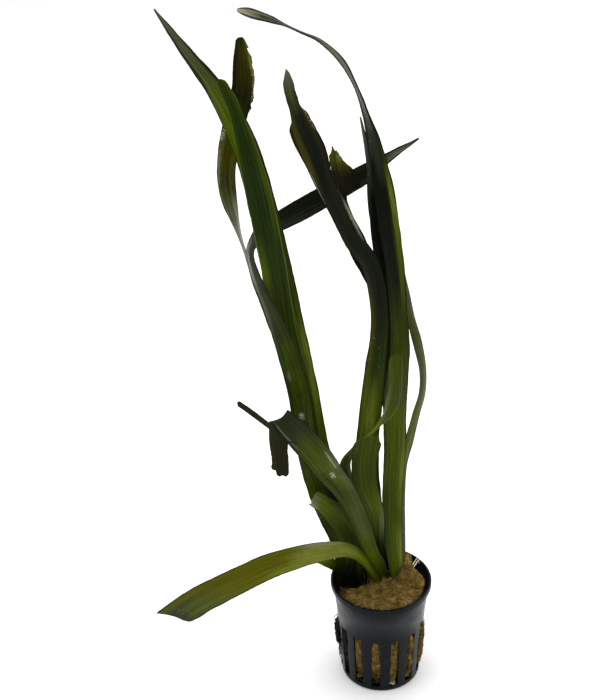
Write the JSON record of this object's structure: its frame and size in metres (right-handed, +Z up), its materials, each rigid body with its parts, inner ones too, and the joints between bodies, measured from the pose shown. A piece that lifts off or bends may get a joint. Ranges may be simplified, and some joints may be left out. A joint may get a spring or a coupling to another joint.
{
  "type": "potted vallisneria",
  "caption": "Strap-leaved aquarium plant standing in a slotted net pot filled with rock wool, with long, folded and torn leaves.",
  "frame": {"origin": "centre of the pot's flat underside, which stands on the surface", "axes": "+Z up along the pot's axis, -Y towards the plant's front, +X to the right seen from the front"},
  "size_m": [0.1409, 0.0768, 0.3553],
  "materials": {
    "pot_plastic": "satin",
    "rock_wool": "matte",
    "crown_dark": "matte",
    "crown_flesh": "satin",
    "leaf_deep_green": "satin",
    "leaf_fresh_green": "satin",
    "leaf_olive": "satin",
    "leaf_old_brown": "satin",
    "leaf_black_green": "satin",
    "root_white": "satin",
    "root_black": "matte"
  },
  "bodies": {
    "root": {"crown_centre": "crown_flesh", "crown_left": "crown_dark", "leaf_arching": "leaf_black_green", "leaf_blunt": "leaf_olive", "leaf_bowed": "leaf_fresh_green", "leaf_broad": "leaf_deep_green", "leaf_brown": "leaf_old_brown", "leaf_crossing": "leaf_black_green", "leaf_cut": "leaf_fresh_green", "leaf_drooping": "leaf_olive", "leaf_folded": "leaf_deep_green", "leaf_narrow": "leaf_black_green", "leaf_stub": "leaf_olive", "leaf_tall": "leaf_fresh_green", "leaf_torn_brown": "leaf_old_brown", "leaf_torn_dark": "leaf_black_green", "leaf_twisting": "leaf_fresh_green", "net_pot": "pot_plastic", "rock_wool": "rock_wool", "root_long": "root_white", "root_short": "root_white", "root_tuft": "root_black"}
  },
  "joints": []
}
